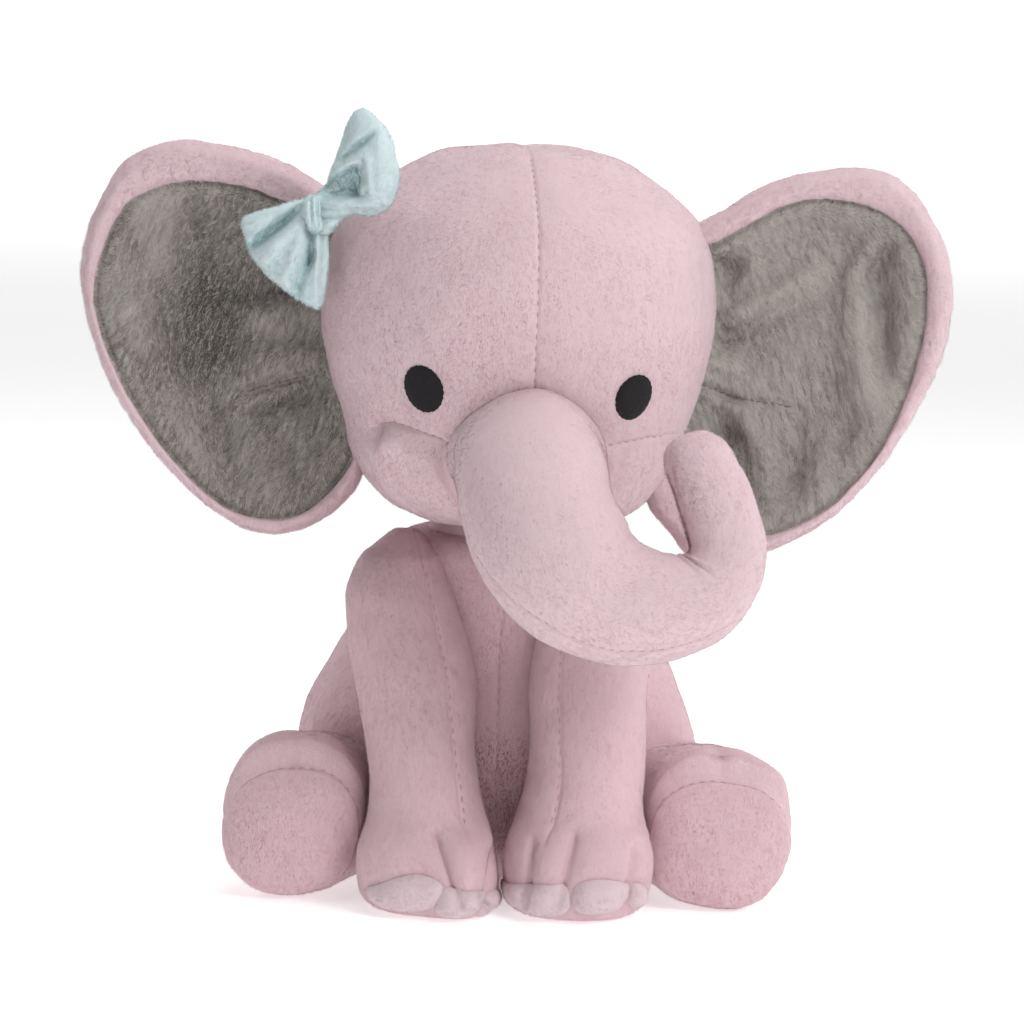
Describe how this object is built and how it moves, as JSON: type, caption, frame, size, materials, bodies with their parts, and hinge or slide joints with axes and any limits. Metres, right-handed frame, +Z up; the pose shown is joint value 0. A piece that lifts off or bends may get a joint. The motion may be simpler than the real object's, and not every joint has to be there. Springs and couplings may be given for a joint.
{
  "type": "stuffed elephant",
  "caption": "Seated stuffed elephant of pink pile fabric with large gray-lined ears, a trunk that curls up, embroidered eyes, pale toenails and a mint bow by one ear",
  "frame": {"origin": "on the flat base that the toy sits on, between the front legs and the body, under the head", "axes": "+Z is up, the face looks along -Y, +X is the toy's left to right line, which a viewer facing it sees going right"},
  "size_m": [0.2576, 0.2256, 0.2315],
  "materials": {
    "pink_plush": "short dusty pink pile fabric, brushed, soft sheen",
    "pale_pink_plush": "short pale pink pile fabric",
    "gray_lining": "warm gray pile fabric, brushed in streaks",
    "mint_fabric": "pale mint woven ribbon fabric",
    "black_embroidery": "black satin-stitch thread",
    "polyester_filling": "white loose polyester fibre"
  },
  "bodies": {
    "torso": {"belly_left": "pink_plush", "belly_right": "pink_plush", "back_left": "pink_plush", "back_right": "pink_plush", "body_base": "pink_plush", "body_stuffing": "polyester_filling"},
    "neck": {"neck_cover": "pink_plush", "neck_stuffing": "polyester_filling"},
    "head": {"forehead_left": "pink_plush", "forehead_right": "pink_plush", "cheek_left": "pink_plush", "cheek_right": "pink_plush", "head_back_left": "pink_plush", "head_back_right": "pink_plush", "head_stuffing": "polyester_filling", "eye_left": "black_embroidery", "eye_right": "black_embroidery"},
    "ear_left": {"ear_left_back_panel": "pink_plush", "ear_left_rim": "pink_plush", "ear_left_lining": "gray_lining", "ear_left_batting": "polyester_filling"},
    "ear_right": {"ear_right_back_panel": "pink_plush", "ear_right_rim": "pink_plush", "ear_right_lining": "gray_lining", "ear_right_batting": "polyester_filling"},
    "bow": {"bow_upper_loop": "mint_fabric", "bow_lower_loop": "mint_fabric", "bow_wrap": "mint_fabric"},
    "trunk": {"trunk_top_panel": "pink_plush", "trunk_under_panel": "pink_plush", "trunk_stuffing": "polyester_filling"},
    "trunk_tip": {"trunk_tip_outer_panel": "pink_plush", "trunk_tip_inner_panel": "pink_plush", "trunk_tip_stuffing": "polyester_filling"},
    "front_leg_left": {"front_leg_left_outer_cover": "pink_plush", "front_leg_left_inner_cover": "pink_plush", "front_leg_left_stuffing": "polyester_filling", "front_leg_left_sole": "pink_plush", "front_leg_left_toenails": "pale_pink_plush"},
    "front_leg_right": {"front_leg_right_outer_cover": "pink_plush", "front_leg_right_inner_cover": "pink_plush", "front_leg_right_stuffing": "polyester_filling", "front_leg_right_sole": "pink_plush", "front_leg_right_toenails": "pale_pink_plush"},
    "hind_leg_left": {"hind_leg_left_upper_cover": "pink_plush", "hind_leg_left_lower_cover": "pink_plush", "hind_leg_left_stuffing": "polyester_filling", "hind_leg_left_sole": "pink_plush"},
    "hind_leg_right": {"hind_leg_right_upper_cover": "pink_plush", "hind_leg_right_lower_cover": "pink_plush", "hind_leg_right_stuffing": "polyester_filling", "hind_leg_right_sole": "pink_plush"},
    "tail": {"tail_cover": "pink_plush", "tail_tuft": "pink_plush"}
  },
  "joints": [
    {"name": "neck_turn", "type": "hinge", "parent": "torso", "child": "neck", "pos_m": [0, 0.004, 0.107], "axis": [0, 0, 1], "range_deg": [-20, 20], "stiffness_Nm_per_rad": 1.5},
    {"name": "neck_nod", "type": "hinge", "parent": "neck", "child": "head", "pos_m": [0, 0.004, 0.107], "axis": [-1, 0, 0], "range_deg": [-4, 12], "stiffness_Nm_per_rad": 1.5},
    {"name": "ear_left_flap", "type": "hinge", "parent": "head", "child": "ear_left", "pos_m": [-0.066, -0.012, 0.16], "axis": [0, 0, 1], "range_deg": [-25, 20], "stiffness_Nm_per_rad": 0.08},
    {"name": "ear_right_flap", "type": "hinge", "parent": "head", "child": "ear_right", "pos_m": [0.066, -0.012, 0.16], "axis": [0, 0, -1], "range_deg": [-25, 20], "stiffness_Nm_per_rad": 0.08},
    {"name": "bow_tilt", "type": "hinge", "parent": "head", "child": "bow", "pos_m": [-0.057, -0.04, 0.2005], "axis": [-0.4015, -0.9034, 0.1506], "range_deg": [-10, 10], "stiffness_Nm_per_rad": 0.05},
    {"name": "trunk_swing", "type": "hinge", "parent": "head", "child": "trunk", "pos_m": [0.0035, -0.053, 0.141], "axis": [-1, 0, 0], "range_deg": [-8, 14], "stiffness_Nm_per_rad": 0.8},
    {"name": "trunk_curl", "type": "hinge", "parent": "trunk", "child": "trunk_tip", "pos_m": [0.0555, -0.086, 0.104], "axis": [0, 1, 0], "range_deg": [-3, 25], "stiffness_Nm_per_rad": 0.12},
    {"name": "front_leg_left_swing", "type": "hinge", "parent": "torso", "child": "front_leg_left", "pos_m": [-0.028, -0.021, 0.092], "axis": [-1, 0, 0], "range_deg": [0, 35], "stiffness_Nm_per_rad": 0.5},
    {"name": "front_leg_right_swing", "type": "hinge", "parent": "torso", "child": "front_leg_right", "pos_m": [0.028, -0.021, 0.092], "axis": [-1, 0, 0], "range_deg": [0, 35], "stiffness_Nm_per_rad": 0.5},
    {"name": "hind_leg_left_splay", "type": "hinge", "parent": "torso", "child": "hind_leg_left", "pos_m": [-0.046, 0.022, 0.025], "axis": [0, 0, -1], "range_deg": [0, 20], "stiffness_Nm_per_rad": 0.5},
    {"name": "hind_leg_right_splay", "type": "hinge", "parent": "torso", "child": "hind_leg_right", "pos_m": [0.046, 0.022, 0.025], "axis": [0, 0, 1], "range_deg": [0, 20], "stiffness_Nm_per_rad": 0.5},
    {"name": "tail_swing", "type": "hinge", "parent": "torso", "child": "tail", "pos_m": [0, 0.097, 0.04], "axis": [0, 0, 1], "range_deg": [-25, 25], "stiffness_Nm_per_rad": 0.03}
  ]
}
